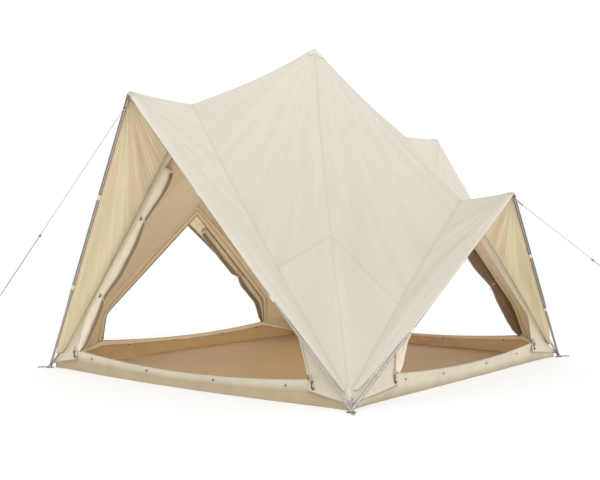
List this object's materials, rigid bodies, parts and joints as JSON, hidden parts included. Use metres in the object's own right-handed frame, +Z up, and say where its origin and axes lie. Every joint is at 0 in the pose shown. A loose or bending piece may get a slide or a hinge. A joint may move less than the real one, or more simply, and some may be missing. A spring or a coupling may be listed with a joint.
{
  "type": "glamping tent",
  "caption": "canvas lodge tent with dormer doorways on leaning steel A-frames round a centre pole, rolled doors, a tub floor and guy lines",
  "frame": {"origin": "on the ground, under the roof's peak and midway between the four corner feet", "axes": "+Z up; +X through the right-hand tall dormer, which is the tent's longest way; +Y through the rear low dormer"},
  "size_m": [5.2909, 4.8935, 2.5985],
  "materials": {
    "canvas": "plain-woven cotton canvas, cream",
    "lining": "plain-woven canvas, golden tan in the shade",
    "floor": "coated tub-floor fabric, tan, slightly sheened",
    "steel": "galvanised steel tube, satin",
    "brass": "antique brass, satin",
    "dark_plastic": "moulded plastic, dark brown",
    "rope": "laid cord, light grey"
  },
  "bodies": {
    "tent": {"canopy_near": "canvas", "canopy_left": "canvas", "canopy_right": "canvas", "canopy_far": "canvas", "peak_cap": "canvas", "wall_front_left": "lining", "wall_front_right": "lining", "wall_back_right": "lining", "wall_back_left": "lining", "rolled_door_front_left": "canvas", "rolled_door_front_right": "canvas", "rolled_door_back_right": "canvas", "rolled_door_back_left": "canvas", "groundsheet": "floor", "tub_side_front_left": "floor", "tub_side_front_right": "floor", "tub_side_back_right": "floor", "tub_side_back_left": "floor", "pole_front_left_lower_left": "steel", "pole_front_left_upper_left": "steel", "pole_front_left_lower_near": "steel", "pole_front_left_upper_near": "steel", "pole_front_right_lower_near": "steel", "pole_front_right_upper_near": "steel", "pole_front_right_lower_right": "steel", "pole_front_right_upper_right": "steel", "pole_back_right_lower_right": "steel", "pole_back_right_upper_right": "steel", "pole_back_right_lower_far": "steel", "pole_back_right_upper_far": "steel", "pole_back_left_lower_far": "steel", "pole_back_left_upper_far": "steel", "pole_back_left_lower_left": "steel", "pole_back_left_upper_left": "steel", "apex_front_left": "steel", "apex_front_right": "steel", "apex_back_right": "steel", "apex_back_left": "steel", "corner_foot_near": "steel", "corner_foot_left": "steel", "corner_foot_right": "steel", "corner_foot_far": "steel", "centre_pole_lower": "steel", "centre_pole_upper": "steel", "guy_rope_left": "rope", "guy_rope_right": "rope", "guy_peg_left": "steel", "guy_peg_right": "steel"},
    "zip_slider_front_left": {"zip_slider_front_left": "brass"},
    "zip_slider_front_right": {"zip_slider_front_right": "brass"},
    "zip_slider_back_right": {"zip_slider_back_right": "brass"},
    "zip_slider_back_left": {"zip_slider_back_left": "brass"},
    "toggle_front_left_upper": {"toggle_front_left_upper": "dark_plastic"},
    "toggle_front_left_lower": {"toggle_front_left_lower": "dark_plastic"},
    "toggle_front_right_middle": {"toggle_front_right_middle": "dark_plastic"},
    "toggle_back_right_upper": {"toggle_back_right_upper": "dark_plastic"},
    "toggle_back_right_lower": {"toggle_back_right_lower": "dark_plastic"},
    "toggle_back_left_middle": {"toggle_back_left_middle": "dark_plastic"},
    "guy_runner_left": {"guy_runner_left": "dark_plastic"},
    "guy_runner_right": {"guy_runner_right": "dark_plastic"}
  },
  "joints": [
    {"name": "zip_front_left", "type": "slide", "parent": "tent", "child": "zip_slider_front_left", "axis": [0.0577, 0.337, 0.9397], "range_m": [0, 0.23]},
    {"name": "zip_front_right", "type": "slide", "parent": "tent", "child": "zip_slider_front_right", "axis": [-0.1372, 0.0757, 0.9877], "range_m": [0, 0.185]},
    {"name": "zip_back_right", "type": "slide", "parent": "tent", "child": "zip_slider_back_right", "axis": [-0.0577, -0.337, 0.9397], "range_m": [0, 0.23]},
    {"name": "zip_back_left", "type": "slide", "parent": "tent", "child": "zip_slider_back_left", "axis": [0.1372, -0.0757, 0.9877], "range_m": [0, 0.185]},
    {"name": "toggle_turn_front_left_upper", "type": "hinge", "parent": "tent", "child": "toggle_front_left_upper", "pos_m": [-1.51012, 0.43945, 1.1721], "axis": [-0.9981, 0, 0.0613], "range_deg": [0, 90]},
    {"name": "toggle_turn_front_left_lower", "type": "hinge", "parent": "tent", "child": "toggle_front_left_lower", "pos_m": [-1.5455, 0.85545, 0.5957], "axis": [-0.9981, 0, 0.0613], "range_deg": [0, 90]},
    {"name": "toggle_turn_front_right_middle", "type": "hinge", "parent": "tent", "child": "toggle_front_right_middle", "pos_m": [-0.60918, -1.4418, 0.65635], "axis": [0, -0.9971, 0.0764], "range_deg": [0, 90]},
    {"name": "toggle_turn_back_right_upper", "type": "hinge", "parent": "tent", "child": "toggle_back_right_upper", "pos_m": [1.51012, -0.43945, 1.1721], "axis": [0.9981, 0, 0.0613], "range_deg": [0, 90]},
    {"name": "toggle_turn_back_right_lower", "type": "hinge", "parent": "tent", "child": "toggle_back_right_lower", "pos_m": [1.5455, -0.85545, 0.5957], "axis": [0.9981, 0, 0.0613], "range_deg": [0, 90]},
    {"name": "toggle_turn_back_left_middle", "type": "hinge", "parent": "tent", "child": "toggle_back_left_middle", "pos_m": [0.60918, 1.4418, 0.65635], "axis": [0, 0.9971, 0.0764], "range_deg": [0, 90]},
    {"name": "guy_adjust_left", "type": "slide", "parent": "tent", "child": "guy_runner_left", "axis": [-0.5338, 0.1695, -0.8285], "range_m": [0, 0.5]},
    {"name": "guy_adjust_right", "type": "slide", "parent": "tent", "child": "guy_runner_right", "axis": [0.4792, -0.6258, -0.6154], "range_m": [0, 0.5]}
  ]
}
